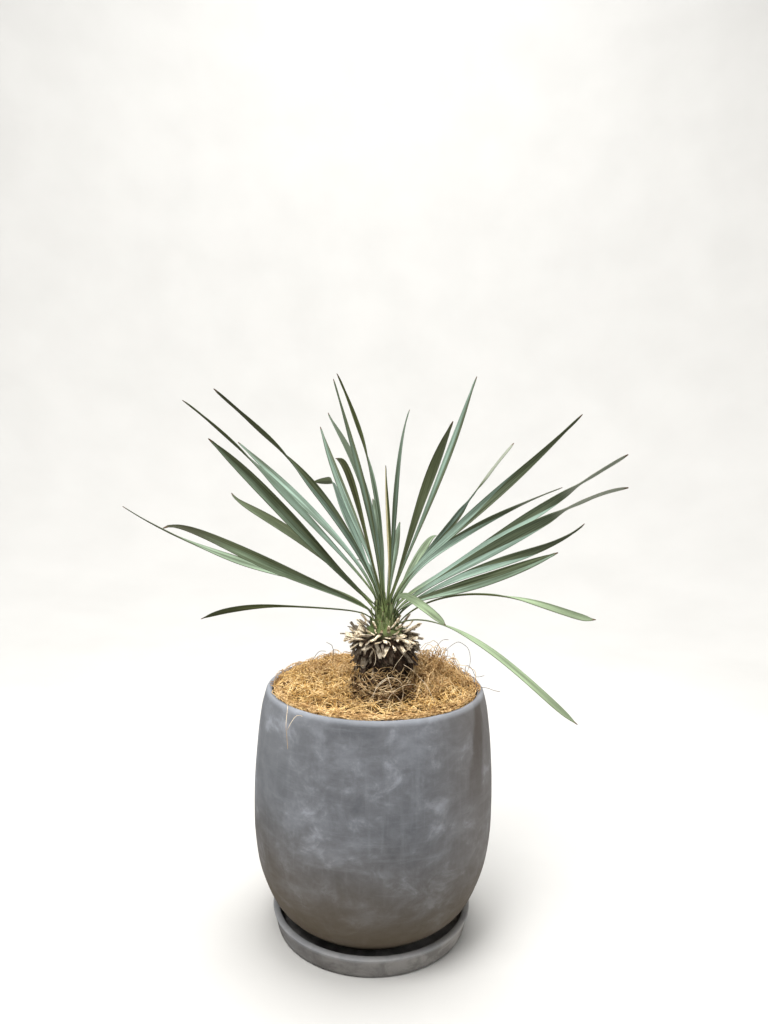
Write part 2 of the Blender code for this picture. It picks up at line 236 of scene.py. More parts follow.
saucerSettings = {
    "sides": 144,
    "outline": ((0, 0), (40, 0), (84.4, 0), (86.2, 0.4), (87.5, 1.5), (88.2, 4), (89.8, 11), (91.6, 16.6),
                (91.9, 17.8), (91.5, 18.6), (90.8, 19), (88.5, 19), (86.8, 19), (86.2, 18.6), (85.9, 17.8),
                (84.4, 12.5), (82.6, 7.8), (81.6, 6.5), (80.2, 6), (40, 6), (0, 6)),
    "wobble": (0.35, 50),
    "finish": ("saucerStone", 0.0190, 0.30, 0.35),
}

stoneTints = {
    "stone": ((0.080, 0.084, 0.094), (0.114, 0.119, 0.132), (0.172, 0.182, 0.204)),
    "chalk": (0.310, 0.328, 0.370),
    "brushed": (0.23, 0.243, 0.270),
    "run": (0.22, 0.232, 0.255),
    "paintedLeftHighlight": (0.23, 0.248, 0.270),
    "paintedWarmRightLight": (0.178, 0.153, 0.128),
    "paintedRightEdgeShade": (0.062, 0.049, 0.040),
    "footDarkening": (0.074, 0.053, 0.027),
    "edge": (0.28, 0.30, 0.335),
    "pore": (0.05, 0.05, 0.05),
    "paintedSheen": (0.39, 0.377, 0.357),
}


def unevenness(piece, amount, size, level=0.5):
    # neither cast stone nor bark is quite round
    cloud = bpy.data.textures.new(piece.name + "Unevenness", "CLOUDS")
    cloud.noise_scale = size * mm
    bake(piece, "DISPLACE", texture=cloud, texture_coords="LOCAL", strength=amount * mm,
         mid_level=level)


def stoneFinish(name, height, paintedSheen, footDarkening):
    # the painted sheen lightens the whole stone, more on the right, and the stone turns darker and browner
    # towards its foot
    finish = Finish(name)
    here = finish.place()
    x, y, z = finish.split(here)
    smear = finish.place(scale=(1.0, 1.0, 1.3), turn=(0.3, 0.6, 0.2))
    broad = finish.clouds(smear, 17, 7, 0.62, 0.3)
    wisps = finish.clouds(smear, 46, 7, 0.66, 0.5)
    brush = finish.clouds(finish.place(scale=(16, 16, 170)), 1, 4, 0.7)
    fall = finish.clouds(finish.place(scale=(190, 190, 14)), 1, 3, 0.6)
    grain = finish.clouds(here, 900, 3, 0.6)
    shifted = x + finish.clouds(finish.place(scale=(40, 40, 4)), 1, 3, 0.5) * 0.02
    stone = finish.ramp(broad * 0.7 + wisps * 0.3, (0.38, 0.50, 0.62), stoneTints["stone"])
    # first to last: the tint of each layer, and where and how strong it lies
    layers = (
        ("chalk", finish.fade(wisps, 0.52, 0.70) * finish.fade(broad, 0.44, 0.62) * 0.55),
        ("brushed", finish.fade(brush, 0.5, 0.8) * 0.26),
        ("run", finish.fade(fall, 0.5, 0.75) * 0.16),
        # painted highlight on the upper left of the stone
        ("paintedLeftHighlight", finish.fade(x, -0.03, -0.095) * finish.fade(z, 0.07, 0.19) * 0.24),
        # painted light: a warmer tint on the right side
        ("paintedWarmRightLight", finish.fade(x, 0.03, 0.10) * 0.42),
        # painted shade in a narrow band along the right edge, in the upper part
        ("paintedRightEdgeShade", finish.fade(shifted, 0.090, 0.094) * finish.fade(shifted, 0.105, 0.100)
         * finish.fade(z, 0.13, 0.20) * 0.7),
        # darker and browner towards the foot
        ("footDarkening", finish.fade(z + broad * 0.03 + x * 0.12, 0.160, 0.040) * footDarkening),
        # painted highlight along the top of the lip
        ("edge", finish.fade(z, height - 0.0050, height - 0.0008) * 0.45),
        ("pore", finish.fade(grain, 0.62, 0.75) * 0.2),
        # painted sheen over the stone, stronger on the right
        ("paintedSheen", finish.fade(wisps, 0.40, 0.62, 0.6, 1.3) * finish.fade(x, -0.09, 0.09, 0.5, 1.45)
         * paintedSheen),
    )
    for tint, share in layers:
        stone = finish.blend(share, stone, stoneTints[tint])
    relief = wisps * 0.5 + grain * 0.25 + brush * 0.3
    return finish.close(stone, finish.fade(wisps, 0.3, 0.7, 0.92, 0.78), relief, 0.0006, 0.5,
                        specular=0.28)


def makePot():
    settings = potSettings
    outline = (rounded(settings["outer"], 5) + list(settings["lip"]) + rounded(settings["inner"], 2)
               + list(settings["foot"]))
    pot = turned("potShell", outline, settings["sides"], ring=True)
    unevenness(pot, *settings["wobble"])
    pot.data.materials.append(stoneFinish(*settings["finish"]))
    soften(pot)
    hand(pot, "pot_stone", "pot")
    print("pot turned,", len(pot.data.polygons), "faces")


def makeSaucer():
    settings = saucerSettings
    saucer = turned("saucerDish", settings["outline"], settings["sides"])
    unevenness(saucer, *settings["wobble"])
    place = pointsOf(saucer)
    place[:, 2] = np.maximum(place[:, 2], 0)  # nothing sinks into the floor
    movePoints(saucer, place)
    saucer.data.materials.append(stoneFinish(*settings["finish"]))
    soften(saucer)
    hand(saucer, "saucer_stone", "saucer")
    print("saucer turned,", len(saucer.data.polygons), "faces")


soilSettings = {"crumb": ((0.020, 0.014, 0.010), (0.075, 0.052, 0.036))}


def dressSoil(frame):
    finish = Finish("pottingSoil")
    crumb = finish.clouds(finish.place(), 260, 6, 0.7)
    colour = finish.ramp(crumb, (0.35, 0.7), soilSettings["crumb"])
    soil = frame["nodes"]["soil"]
    soil.data.materials.clear()
    soil.data.materials.append(finish.close(colour, 0.95, crumb, 0.002, 0.8))
    print("soil darkened")


trunkSettings = {
    "axis": (7.5, -25),
    "profile": ((0, 186), (13, 188), (17, 194), (18, 216), (19, 234), (21.5, 250), (25, 265), (24.5, 274),
                (20, 281), (14, 284.8), (11.6, 285.4), (2.3, 308), (0, 309.6)),
    "cone": 11,  # the point of the profile from which it isn't rounded
    "sides": 84,
    "scales": (2.2, 6, 0.7),  # depth, size and level of the bark's scales
    "bark": ((0.008, 0.005, 0.004), (0.030, 0.018, 0.012), (0.090, 0.056, 0.034)),
    "coneTint": (0.105, 0.140, 0.048),
}

coirSettings = {
    "radius": 92.4,
    "edge": 219,
    "heap": 10,
    "shoulder": 22,
    "floor": 205.4,
    "sides": 120,
    "rings": 46,
    # the bed's dark colours are painted shade for the gaps under the fibre
    "bed": ((0.016, 0.008, 0.004), (0.060, 0.030, 0.012), (0.17, 0.090, 0.035)),
    "under": (0.018, 0.009, 0.004),  # the painted shade of fibre deep in the heap
    # name, tufts, fibres in each, radius, seed, curl, lift, dark, middle and light colour
    "heaps": (
        ("coirGold", 190, 9, 0.42, 21, 1.2, 5.0,
         (0.16, 0.078, 0.020), (0.46, 0.265, 0.078), (0.76, 0.50, 0.19)),
        ("coirPale", 120, 8, 0.32, 22, 1.6, 6.5,
         (0.34, 0.205, 0.078), (0.68, 0.470, 0.200), (0.95, 0.77, 0.44)),
        ("coirBrown", 150, 8, 0.40, 23, 1.3, 4.5,
         (0.020, 0.009, 0.004), (0.080, 0.040, 0.015), (0.22, 0.12, 0.048)),
        ("coirLoops", 150, 3, 0.34, 24, 4.2, 9.0,
         (0.20, 0.105, 0.030), (0.56, 0.350, 0.120), (0.88, 0.66, 0.33)),
        ("coirFluff", 170, 3, 0.17, 25, 2.4, 13.0,
         (0.20, 0.115, 0.045), (0.44, 0.280, 0.120), (0.70, 0.52, 0.29)),
        ("coirArcs", 150, 3, 0.29, 26, 2.2, 8.0,
         (0.28, 0.165, 0.060), (0.64, 0.430, 0.170), (0.94, 0.74, 0.40)),
    ),
    "longer": {"coirArcs": 2.0},  # how much longer than the others the fibres of a heap are
    "outermost": 90.0,  # how far from the middle the tufts of the heaps lie
    "looseness": 5,
    "lengths": (20, 58),
    "bare": 0.9,  # the share of fibres that the hollow keeps out
    "steps": 10,
    # name, fibres, radius, seed, lowest, usual and highest place on the trunk, colours
    "collars": (
        ("collarBrown", 70, 0.36, 31, 222, 226, 248,
         (0.016, 0.008, 0.004), (0.060, 0.030, 0.013), (0.20, 0.11, 0.050)),
        ("collarPale", 100, 0.24, 32, 222, 244, 252,
         (0.14, 0.080, 0.035), (0.42, 0.280, 0.130), (0.80, 0.63, 0.40)),
    ),
    "flare": (0.4, 248),  # how much a collar widens per millimetre below this height
    # fibre that stands up beside the trunk: name, fibres, radius, seed, centre, spread, curl, lift
    "clumps": (
        ("clumpRight", 420, 0.27, 41, (43, -2), 11, 2.6, 30),
        ("clumpLeft", 140, 0.25, 42, (-36, 24), 13, 2.2, 15),
    ),
    "clumpTints": ((0.20, 0.110, 0.040), (0.50, 0.320, 0.140), (0.80, 0.60, 0.34)),
    "spill": ("coirSpill", 520, 0.30, 43, (0.18, 0.095, 0.034), (0.46, 0.280, 0.115), (0.76, 0.56, 0.30)),
    "spillSteps": 8,
    "spillReach": (84, 95.5, 96.5),  # where its fibres start, and where they end at the most
    "lip": (92.5, 225.0),  # where the pot's lip begins, and how high fibre lies on it
    # single hairs, each a line of points: the first six stand against the light and look dark
    "hairs": (
        ((66, 28, 240), (67, 28, 249), (77, 26, 258), (83, 25, 257), (88, 23, 253), (90, 22, 246),
         (90, 21, 239), (87, 20, 230)),
        ((54, 8, 242), (56, 12, 252), (59, 17, 258), (64, 23, 261), (70, 28, 260)),
        ((84, 12, 228), (85, 10, 240), (90, 8, 238), (93, 5, 232), (96, 2, 232), (101, 0, 234)),
        ((80, -2, 229), (87, -5, 230), (96, -9, 226), (102, -12, 226), (108, -16, 225), (113, -19, 225)),
        ((-47, 20, 258), (-42, 21, 255), (-41, 22, 252), (-40, 23, 248), (-41, 24, 234)),
        ((-64, 24, 230), (-61, 24, 237), (-57, 24, 244), (-53, 24, 248), (-47, 24, 248)),
        ((-75, -54, 224), (-72, -76, 228), (-70, -99, 229), (-70, -104, 222), (-69, -106, 214),
         (-68, -108, 205)),
        ((-58, -92, 226), (-62, -99, 229), (-66, -103, 225), (-69, -105, 219)),
        ((14, -48, 246), (16, -50, 255), (21, -51, 263), (26, -52, 270), (31, -53, 275), (35, -54, 278)),
        ((-3, -47, 244), (-2, -50, 254), (0, -51, 261), (-1, -51, 269), (-4, -52, 273)),
        ((-3, -62, 226), (0, -64, 239), (2, -65, 244), (6, -66, 248), (11, -67, 251), (16, -68, 251),
         (21, -69, 248), (23, -70, 243), (23, -71, 236), (19, -72, 224)),
        ((-12, -64, 221), (-6, -66, 229), (-3, -67, 234), (1, -68, 242), (5, -69, 247), (9, -70, 250)),
        ((10, -60, 252), (11, -66, 250), (13, -68, 244), (15, -69, 239), (20, -70, 234), (27, -72, 224)),
        ((24, -52, 258), (30, -58, 256), (37, -60, 250), (44, -62, 242), (50, -64, 230)),
        ((32, -44, 230), (36, -50, 238), (30, -58, 243), (19, -61, 240), (12, -62, 233), (9, -60, 224)),
    ),
    "darkHairs": 6,
    # the dark and the pale hairs: name, radius, colours
    "hairKinds": (
        ("hairsDark", 0.24, (0.03, 0.018, 0.010), (0.12, 0.080, 0.045)),
        ("hairsPale", 0.20, (0.34, 0.240, 0.140), (0.84, 0.720, 0.540)),
    ),
    # the hollow in front of the trunk, where the fibre is thin and painted darker as shade: centre and
    # reach
    "hollow": (10, -60, 21, 15),
}


def trunkRadius(height):
    radii, heights = zip(*trunkSettings["profile"])
    return float(np.interp(height, heights, radii))


def coirHeight(x, y):
    # the heap is lowest in front and highest at the right of the trunk, with lumps and ridges
    settings = coirSettings
    shoulder = smooth((settings["radius"] - hypot(x, y)) / settings["shoulder"])
    front = 0.25 + 0.75 * smooth((y + 60.0) / 60.0)
    crest = 5.0 * exp(-((x - 38.0) ** 2 + (y - 6.0) ** 2) / 1300.0)
    lumps = 1.3 * sin(0.13 * x + 0.7) * cos(0.11 * y - 0.4) + 0.9 * sin(0.31 * x - 0.23 * y)
    ridges = 0.7 * sin(0.55 * x + 0.42 * y) + 0.6 * sin(0.48 * x - 0.61 * y + 1.0)
    rough = (lumps + ridges) * (0.25 + 0.75 * shoulder)
    return settings["edge"] + settings["heap"] * shoulder * front + crest + rough


def hollowShare(x, y):
    # how far into the hollow a place is, from 0 outside to 1 at its middle
    cx, cy, wide, depthShade = coirSettings["hollow"]
    return exp(-((x - cx) / wide) ** 2 - ((y - cy) / depthShade) ** 2)


def coirFinish(name, tints):
    # painted shade: fibre deep in the heap is darker than fibre on top of it
    finish = Finish(name)
    here = finish.place()
    patch = finish.clouds(here, 60, 4, 0.6)
    thread = finish.clouds(here, 420, 2, 0.5)
    colour = finish.ramp(patch * 0.5 + thread * 0.5, (0.39, 0.50, 0.61), tints)
    depthShade = finish.fade(finish.named("depth"), 2.0, -1.0) * 0.8
    colour = finish.blend(depthShade, colour, coirSettings["under"])
    return finish.close(colour, 0.8, thread, 0.0003, 0.4, specular=0.15)


def markDepth(piece):
    # how far a point lies over the heap's surface; in the hollow it counts as deeper, so it gets more
    # painted shade
    mark(piece, "depth", [z - coirHeight(x, y) - 3.0 * hollowShare(x, y) for x, y, z in pointsOf(piece)])


def makeCoirBed():
    settings = coirSettings
    wide, floor = settings["radius"], settings["floor"]
    outline = [(0, floor), (wide, floor)]
    outline += [(wide * k / settings["rings"], settings["edge"]) for k in range(settings["rings"], -1, -1)]
    bed = turned("coirBed", outline, settings["sides"])
    place = pointsOf(bed)
    for point in place:
        if point[2] > floor + 1:
            tangle = noise.fractal(Vector(point) * 0.16, 0.6, 2.0, 4)
            point[2] = coirHeight(point[0], point[1]) - 1.2 + 1.6 * tangle
    movePoints(bed, place)
    markDepth(bed)
    bed.data.materials.append(coirFinish("coirBedFibre", settings["bed"]))
    soften(bed, 60)
    hand(bed, "coir_fibre", "coir_mulch")
    print("coir bed raised,", len(bed.data.polygons), "faces")


def keepOff(x, y, height, clear):
    # pushes a point out of the trunk and in from the pot's wall
    (cx, cy), wall = trunkSettings["axis"], coirSettings["radius"]
    away, least = hypot(x - cx, y - cy), trunkRadius(height) + clear
    if 0 < away < least:
        x, y = cx + (x - cx) * least / away, cy + (y - cy) * least / away
    out = hypot(x, y)
    if out > wall:
        x, y = x * wall / out, y * wall / out
    return x, y


def fibreLine(draw, x, y, course, length, curl, lift, steps):
    # one fibre over the mulch: it wanders, dips at its ends and lies over the trunk's foot
    line = []
    stride = length / steps
    phase = draw.uniform(0, 6.28)
    for k in range(steps + 1):
        t = k / steps
        height = coirHeight(x, y)
        x, y = keepOff(x, y, height, 0.8)
        height = coirHeight(x, y) + lift * sin(pi * t) ** 0.7 - 0.9 + 0.7 * sin(phase + 9 * t)
        line.append((x, y, height))
        course += curl / steps + draw.gauss(0, 0.16)
        x += stride * cos(course)
        y += stride * sin(course)
    return line


def strands(name, lines, radius, material):
    # a bundle of threads with fine ends, drawn as one curve and made a mesh
    letGo()
    bpy.ops.curve.primitive_nurbs_path_add(location=(0, 0, 0))
    bundle = bpy.context.object
    bundle.name = name
    bundle.data.splines.clear()
    for line in lines:
        thread = bundle.data.splines.new("POLY")
        thread.points.add(len(line) - 1)
        flat = np.ones((len(line), 4))
        flat[:, :3] = np.array(line) * mm
        thread.points.foreach_set("co", flat.ravel())
        fine = np.ones(len(line))
        fine[0] = fine[-1] = 0.35
        thread.points.foreach_set("radius", fine)
    bundle.data.bevel_depth = radius * mm
    bundle.data.bevel_resolution = 0
    bundle.data.use_fill_caps = True
    bundle.data.materials.append(material)
    pick(bundle)
    bpy.ops.object.convert(target="MESH")
    bundle = bpy.context.object
    markDepth(bundle)
    soften(bundle, 80)
    return bundle


def layFibre(name, lines, radius, tints):
    fibre = strands(name, lines, radius, coirFinish(name + "Fibre", tints))
    hand(fibre, "coir_fibre")
    return fibre


def makeCoirHeaps():
    settings = coirSettings
    shortest, longest = settings["lengths"]
    loose = settings["looseness"]
    for name, tufts, many, radius, seed, bend, rise, *colours in settings["heaps"]:
        draw = random.Random(seed)
        longer = settings["longer"].get(name, 1.0)
        steps = round(settings["steps"] * longer)
        lines = []
        for tuft in range(tufts):
            out, angle = settings["outermost"] * draw.random() ** 0.5, draw.uniform(0, 2 * pi)
            course, curl = draw.uniform(0, 2 * pi), draw.gauss(0, bend)
            for k in range(many):
                x, y = out * cos(angle) + draw.gauss(0, loose), out * sin(angle) + draw.gauss(0, loose)
                if draw.random() < settings["bare"] * hollowShare(x, y):
                    continue
                lines.append(fibreLine(draw, x, y, course + draw.gauss(0, 0.55),
                                       draw.uniform(shortest, longest) * longer,
                                       curl + draw.gauss(0, 0.8), draw.uniform(0.2, rise), steps))
        print(name, "laid,", len(layFibre(name, lines, radius, colours).data.polygons), "faces")


def makeCollars():
    # fibres wound round the trunk's foot, most of them in front
    settings = coirSettings
    (cx, cy), (flare, flareTop) = trunkSettings["axis"], settings["flare"]
    for name, many, radius, seed, low, usual, high, *colours in settings["collars"]:
        draw = random.Random(seed)
        lines = []
        for k in range(many):
            around, sweep = draw.gauss(-1.57, 0.9), draw.choice((-1, 1)) * draw.uniform(0.4, 1.4)
            height, slope = draw.triangular(low, high, usual), draw.gauss(0, 12)
            off, bulge, phase = draw.uniform(0.6, 4.5), draw.uniform(0, 4), draw.uniform(0, 6.28)
            line = []
            for step in range(settings["steps"] + 1):
                t = step / settings["steps"]
                up = min(max(height + slope * (t - 0.5) + 1.2 * sin(phase + 7 * t), low - 2), high + 3)
                out = trunkRadius(up) + off + bulge * sin(pi * t) + flare * max(0.0, flareTop - up)
                angle = around + sweep * t
                line.append((cx + out * cos(angle), cy + out * sin(angle), up))
            lines.append(line)
        layFibre(name, lines, radius, colours)
    print("collar wound")


def makeClumps():
    settings = coirSettings
    for name, many, radius, seed, (cx, cy), spread, bend, rise in settings["clumps"]:
        draw = random.Random(seed)
        lines = [fibreLine(draw, draw.gauss(cx, spread), draw.gauss(cy, spread),
                           draw.uniform(0, 2 * pi), draw.uniform(16, 46), draw.gauss(0, bend),
                           draw.triangular(1, rise, 0.35 * rise), settings["steps"]) for k in range(many)]
        layFibre(name, lines, radius, settings["clumpTints"])
    print("clumps raised")


def makeSpill():
    # fibre along the edge of the mulch, over the inner half of the lip
    settings = coirSettings
    name, many, radius, seed, *colours = settings["spill"]
    nearest, farthest, limit = settings["spillReach"]
    lipStart, lipHeight = settings["lip"]
    draw = random.Random(seed)
    lines = []
    for k in range(many):
        around, sweep = draw.uniform(0, 2 * pi), draw.gauss(0, 0.22)
        out, drift, bow = draw.uniform(nearest, farthest), draw.gauss(0, 4), draw.uniform(0.5, 4)
        line = []
        for step in range(settings["spillSteps"] + 1):
            t = step / settings["spillSteps"]
            far = min(out + drift * t + 1.5 * sin(6 * t + out), limit)
            rest = lipHeight if far > lipStart else coirHeight(far, 0) * 0.35 + lipHeight * 0.65
            angle = around + sweep * t
            line.append((far * cos(angle), far * sin(angle), rest + bow * sin(pi * t)))
        lines.append(line)
    layFibre(name, lines, radius, colours)
    print("edge of the mulch laid")


def makeHairs():
    settings = coirSettings
    lines = [rounded(line, 4) for line in settings["hairs"]]
    dark = settings["darkHairs"]
    for some, (name, radius, *tints) in zip((lines[:dark], lines[dark:]), settings["hairKinds"]):
        finish = Finish(name + "Fibre")
        colour = finish.ramp(finish.clouds(finish.place(), 60, 3, 0.5), (0.38, 0.62), tints)
        hair = strands(name, some, radius, finish.close(colour, 0.8, specular=0.15))
        hand(hair, "coir_fibre")
    print("stray hairs laid")


def barkFinish():
    finish = Finish("trunkBark")
    here = finish.place()
    x, y, z = finish.split(here)
    scale = finish.clouds(here, 150, 5, 0.65)
    shred = finish.clouds(finish.place(scale=(500, 500, 90)), 1, 3, 0.6)
    tone = scale * 0.6 + shred * 0.4
    colour = finish.ramp(tone, (0.36, 0.50, 0.66), trunkSettings["bark"])
    colour = finish.blend(finish.fade(z, 0.276, 0.287), colour, trunkSettings["coneTint"])
    return finish.close(colour, 0.9, tone, 0.0015, 1.0, specular=0.2)


def makeTrunk():
    settings = trunkSettings
    stem, cone = list(settings["profile"]), settings["cone"]
    outline = rounded(stem[:cone], 5) + stem[cone:]
    trunk = turned("trunkBark", outline, settings["sides"], settings["axis"])
    unevenness(trunk, *settings["scales"])
    trunk.data.materials.append(barkFinish())
    soften(trunk, 60)
    hand(trunk, "trunk_bark", "trunk")
    print("trunk turned,", len(trunk.data.polygons), "faces")


stubSettings = {
    # rows of cut leaf bases from the lowest: height, number, rise, length, width, paleness
    "rows": (
        # the lowest rows have next to no paleness and take the dark root colour: painted shade below the
        # ring of cut bases
        (233.0, 12, -82, 9.5, 6.0, 0.00),
        (239.0, 14, -80, 10.0, 6.0, 0.00),
        (245.0, 15, -78, 10.5, 5.5, 0.03),
        (250.5, 17, -74, 11.0, 5.0, 0.05),
        (256.0, 20, -70, 11.5, 4.8, 0.05),
        (261.0, 22, -64, 12.0, 4.4, 0.04),
        (265.5, 24, -56, 12.0, 3.8, 0.06),
        (270.0, 30, -38, 12.0, 3.2, 0.22),
        (273.5, 34, -14, 12.0, 2.8, 0.95),
        (277.0, 34, 4, 13.0, 2.8, 1.00),
        (280.5, 32, 20, 13.5, 2.8, 1.00),
        (284.0, 24, 42, 13.5, 3.0, 1.00),
    ),
    "thickness": 0.85,
    "inset": 4.0,  # how deep the root of a stub or sheath is sunk
    "frontDroop": 5,
    "leftReach": 3.5,
    "darkShare": 0.36,
    "dulled": 0.25,  # what is left of the paleness of a dark one
    "seed": 5,
    "cut": ((0.15, 0.10, 0.055), (0.52, 0.42, 0.28), (0.84, 0.76, 0.61)),
    "root": ((0.010, 0.006, 0.004), (0.050, 0.030, 0.018)),
}


def stubFinish():
    # dark at its root and pale at its cut end
    finish = Finish("cutLeafBase")
    along = finish.split(addNode(finish.tree, "ShaderNodeUVMap", {"uv_map": "UVMap"}))[1]
    blotch = finish.clouds(finish.place(), 210, 4, 0.6)
    fibre = finish.clouds(finish.place(scale=(900, 900, 300)), 1, 2, 0.5)
    cut = finish.ramp(blotch * 0.6 + fibre * 0.4, (0.38, 0.46, 0.56), stubSettings["cut"])
    # stubs with little paleness keep the dark root colour all over: on the lower rows it is painted shade
    root = finish.ramp(blotch, (0.35, 0.65), stubSettings["root"])
    share = finish.fade(along + blotch * 0.5, 0.45, 0.85) * finish.named("paleness")
    return finish.close(finish.blend(share, root, cut), 0.85, fibre, 0.0004, 0.6, specular=0.2)


def stubShape(name, length, width, thickness, droop, cup, twist, ragged, draw, taper):
    # a flat strip that curves, cups and ends in a torn edge, X along it
    letGo()
    bpy.ops.mesh.primitive_grid_add(x_subdivisions=6, y_subdivisions=4, size=1, calc_uvs=True)
    piece = bpy.context.object
    piece.name = name
    place = pointsOf(piece) * mm
    along, side = place[:, 0] + 0.5, place[:, 1] * 2
    torn = np.array([draw.uniform(-ragged, ragged) for k in range(5)])
    long = length * (along + (along > 0.95) * np.interp(side, np.linspace(-1, 1, 5), torn))
    wide = 0.5 * width * side * (1.0 - taper * along ** 2)
    lift = cup * width * (side ** 2 - 0.4) - droop * length * along ** 2
    turn = np.radians(twist) * along
    movePoints(piece, np.stack((long - stubSettings["inset"],
                                wide * np.cos(turn) - lift * np.sin(turn) * 0.3,
                                lift + wide * np.sin(turn)), 1))
    for loop in piece.data.uv_layers[0].data:
        loop.uv = (loop.uv.y, loop.uv.x)
    bake(piece, "SOLIDIFY", thickness=thickness * mm, offset=0)
    return piece


def makeStubs():
    settings = stubSettings
    draw = random.Random(settings["seed"])
    axis = Vector((*trunkSettings["axis"], 0)) * mm
    stubs = []
    for row, (height, count, rise, length, width, paleness) in enumerate(settings["rows"]):
        for k in range(count):
            piece = stubShape("stub", length * draw.uniform(0.55, 1.3), width * draw.uniform(0.55, 1.55),
                              settings["thickness"] * draw.uniform(0.7, 1.2), draw.uniform(-0.20, 0.28),
                              draw.uniform(-0.10, 0.20), draw.uniform(-70, 70), 0.10, draw, 0.15)
            around = 2 * pi * (k + 0.5 * (row % 2) + draw.uniform(-0.3, 0.3)) / count
            high = height + draw.uniform(-1.6, 1.6)
            front = max(0.0, -sin(around)) * paleness
            fuller = max(0.0, -cos(around)) * paleness * settings["leftReach"]
            tilt = rise + draw.uniform(-20, 20) * (0.3 + 0.7 * paleness) - settings["frontDroop"] * front
            piece.data.transform(Matrix.Translation(axis + Vector((0, 0, high * mm)))
                                 @ Matrix.Rotation(around, 4, "Z")
                                 @ Matrix.Translation(((trunkRadius(high) + fuller) * mm, 0, 0))
                                 @ Matrix.Rotation(-radians(tilt), 4, "Y")
                                 @ Matrix.Rotation(radians(draw.uniform(-30, 30)), 4, "Z")
                                 @ Matrix.Rotation(radians(draw.uniform(-25, 25)), 4, "X"))
            dull = settings["dulled"] if draw.random() < settings["darkShare"] else 1.0
            mark(piece, "paleness", np.clip(paleness * dull + draw.uniform(-0.15, 0.15), 0, 1))
            stubs.append(piece)
    ring = joined("trunkStubs", stubs)
    ring.data.materials.append(stubFinish())
    soften(ring, 50)
    hand(ring, "trunk_bark")
    print("leaf bases cut,", len(ring.data.polygons), "faces")


sheathSettings = {
    # short leaf bases round the crown from the outermost ring: height, number, radius, rise, length, width
    "rings": (
        (279.0, 20, 9.8, 78, 17, 3.8),
        (281.0, 18, 8.6, 81, 20, 3.8),
        (284.0, 15, 6.8, 84, 23, 3.8),
        (288.0, 11, 4.4, 87, 27, 3.8),
    ),
    "thickness": 0.8,
    "seed": 9,
}


def makeSheaths(material):
    settings = sheathSettings
    draw = random.Random(settings["seed"])
    axis = Vector((*trunkSettings["axis"], 0)) * mm
    sheaths = []
    for height, count, radius, rise, length, width in settings["rings"]:
        for k in range(count):
            piece = stubShape("sheath", length * draw.uniform(0.75, 1.2), width * draw.uniform(0.8, 1.15),
                              settings["thickness"], draw.uniform(-0.10, 0.08), -0.22,
                              draw.uniform(-12, 12), 0.02, draw, 0.85)
            around = 2 * pi * (k + draw.uniform(-0.3, 0.3)) / count + height
            high = height + draw.uniform(-2, 2)
            piece.data.transform(Matrix.Translation(axis + Vector((0, 0, high * mm)))
                                 @ Matrix.Rotation(around, 4, "Z")
                                 @ Matrix.Translation((radius * mm, 0, 0))
                                 @ Matrix.Rotation(-radians(rise + draw.uniform(-4, 5)), 4, "Y"))
            mark(piece, "tone", draw.uniform(-0.5, 1.3))
            mark(piece, "seed", k * 1.7 + height)
            sheaths.append(piece)
    crown = joined("crownSheaths", sheaths)
    crown.data.materials.append(material)
    soften(crown, 60)
    hand(crown, "leaf_blade")
    print("crown wrapped,", len(crown.data.polygons), "faces")


